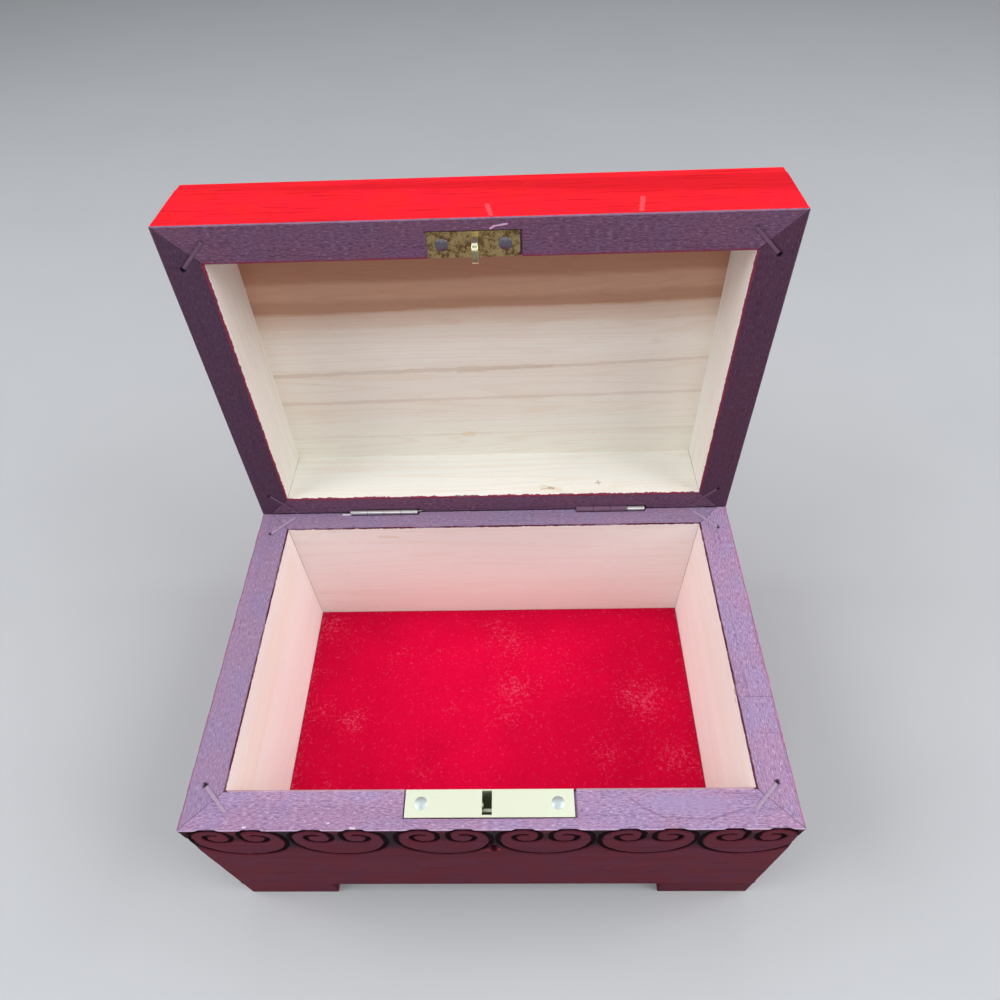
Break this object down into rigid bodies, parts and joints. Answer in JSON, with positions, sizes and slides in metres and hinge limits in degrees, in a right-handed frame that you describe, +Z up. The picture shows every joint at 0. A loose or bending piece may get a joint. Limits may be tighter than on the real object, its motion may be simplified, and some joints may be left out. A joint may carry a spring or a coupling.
{
  "type": "carved wooden jewelry box",
  "caption": "Mitred wooden box on bracket feet with a carved scroll frieze, a hinged lid leaning open on stop bevels, a cut-in brass lock, a catch loop and a velvet floor.",
  "frame": {"origin": "on the table, in the middle of the open box's footprint", "axes": "+X to the right along the front, +Y from the front to the hinges, +Z up"},
  "size_m": [0.2, 0.1684, 0.215],
  "materials": {
    "maroon_painted_wood": "thin stain and paint over softwood, satin, worn at the arrises",
    "red_painted_wood": "bright red paint over softwood with the grain showing through",
    "brass": "pale polished brass plate with fine scratches",
    "tarnished_brass": "darkened, speckled brass",
    "nickel": "nickel plated sheet",
    "steel": "zinc plated wire",
    "crimson_velvet": "short pile velvet with pale lint",
    "card": "plain grey-brown card"
  },
  "bodies": {
    "box": {"bottom_board_nails": "steel", "box_bottom_board": "maroon_painted_wood", "box_corner_staples": "steel", "box_front_wall": "maroon_painted_wood", "box_left_wall": "maroon_painted_wood", "box_rear_wall": "maroon_painted_wood", "box_right_wall": "maroon_painted_wood", "floor_card": "card", "front_left_foot_front_block": "maroon_painted_wood", "front_left_foot_side_block": "maroon_painted_wood", "front_right_foot_front_block": "maroon_painted_wood", "front_right_foot_side_block": "maroon_painted_wood", "hinge_box_nails": "steel", "left_hinge_box_leaf": "nickel", "left_hinge_pin": "nickel", "lock_case": "brass", "lock_key_pin": "steel", "lock_pillars": "brass", "lock_plate": "brass", "lock_plate_nails": "steel", "lock_spring": "steel", "rear_left_foot_rear_block": "maroon_painted_wood", "rear_left_foot_side_block": "maroon_painted_wood", "rear_right_foot_rear_block": "maroon_painted_wood", "rear_right_foot_side_block": "maroon_painted_wood", "right_hinge_box_leaf": "nickel", "right_hinge_pin": "nickel", "velvet_lining": "crimson_velvet"},
    "lid": {"catch_loop": "tarnished_brass", "catch_plate": "tarnished_brass", "catch_plate_nails": "steel", "hinge_lid_nails": "steel", "left_hinge_lid_leaf": "nickel", "lid_corner_staples": "steel", "lid_front_wall": "red_painted_wood", "lid_left_wall": "red_painted_wood", "lid_rear_wall": "red_painted_wood", "lid_right_wall": "red_painted_wood", "lid_top_panel": "red_painted_wood", "right_hinge_lid_leaf": "nickel"},
    "bolt": {"lock_bolt": "brass"}
  },
  "joints": [
    {"name": "lid_hinge", "type": "hinge", "parent": "box", "child": "lid", "pos_m": [0, 0.04618, 0.0848], "axis": [1, 0, 0], "range_deg": [0, 93.3]},
    {"name": "bolt_slide", "type": "slide", "parent": "box", "child": "bolt", "axis": [1, 0, 0], "range_m": [0, 0.0036]}
  ]
}
